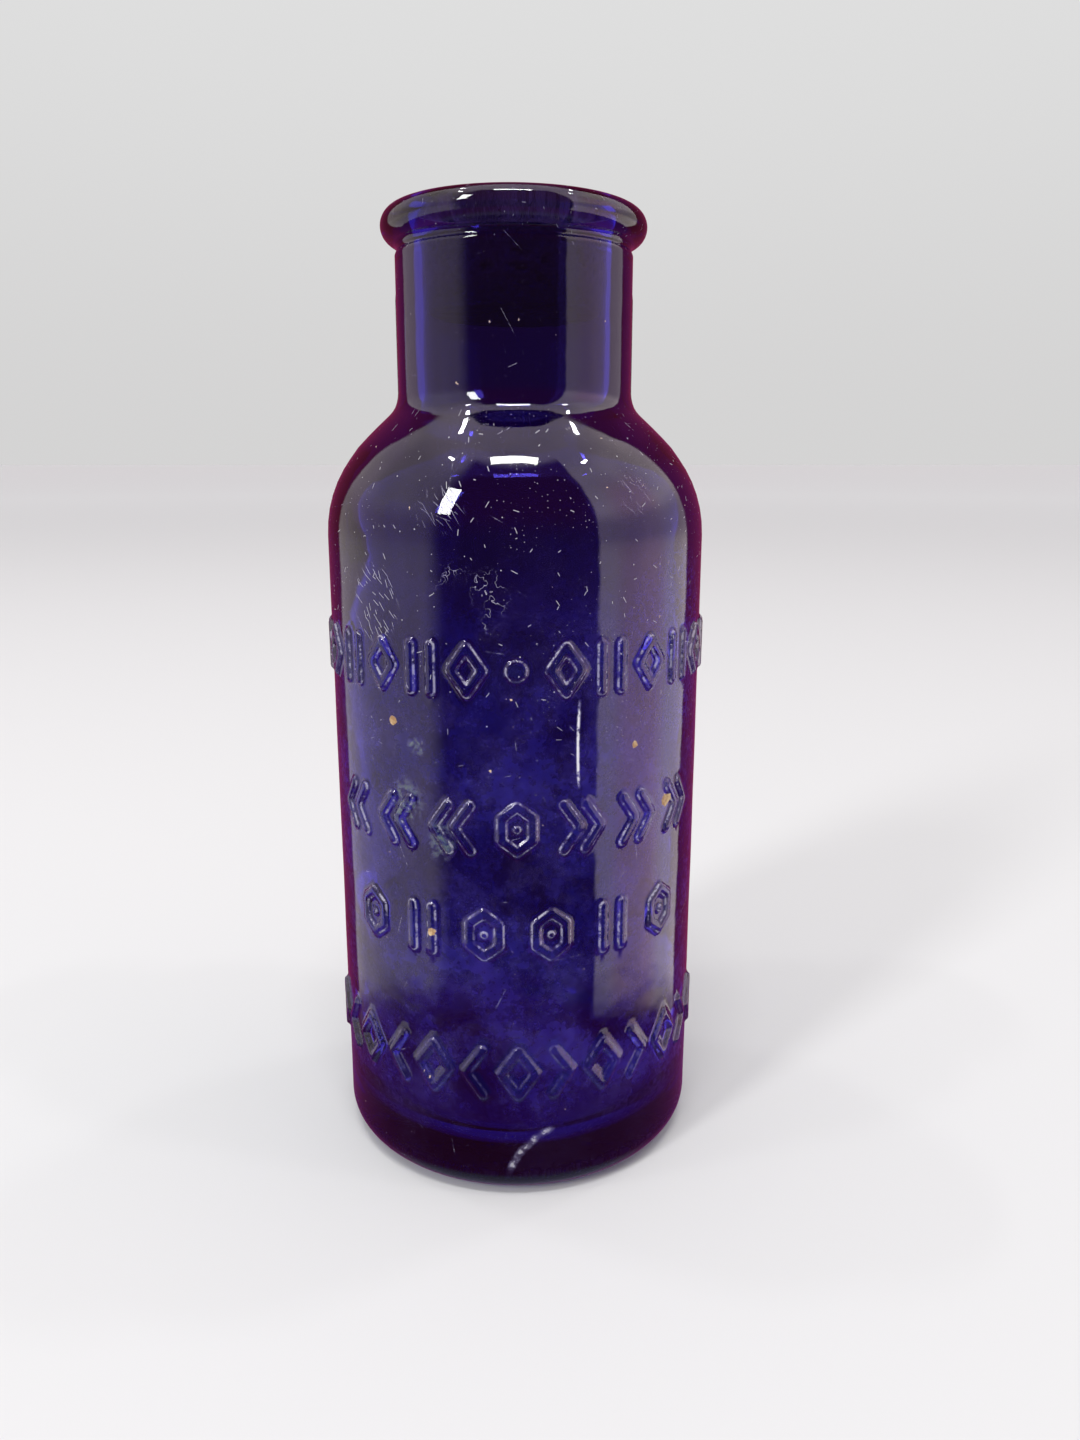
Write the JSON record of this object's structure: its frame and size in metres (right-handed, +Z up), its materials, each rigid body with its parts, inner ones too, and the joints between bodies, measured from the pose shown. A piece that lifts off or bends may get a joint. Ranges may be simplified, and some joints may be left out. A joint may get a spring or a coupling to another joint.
{
  "type": "corked glass bottle",
  "caption": "Wide-mouthed cylindrical moulded glass bottle with a rounded shoulder, short neck, bead lip, raised ornament rows and a tapered cork.",
  "frame": {"origin": "on the bottle's axis, at the height of the ring it rests on", "axes": "+Z up along the bottle's axis, the ornamented face looks along -Y, +X to the viewer's right"},
  "size_m": [0.0518, 0.0513, 0.127],
  "materials": {
    "cobalt_glass": "gloss",
    "cork": "matte"
  },
  "bodies": {
    "bottle": {"glass_bottle": "cobalt_glass"},
    "cork": {"cork_stopper": "cork"}
  },
  "joints": [
    {"name": "cork_pull", "type": "slide", "parent": "bottle", "child": "cork", "axis": [0, 0, 1], "range_m": [0, 0.03]}
  ]
}
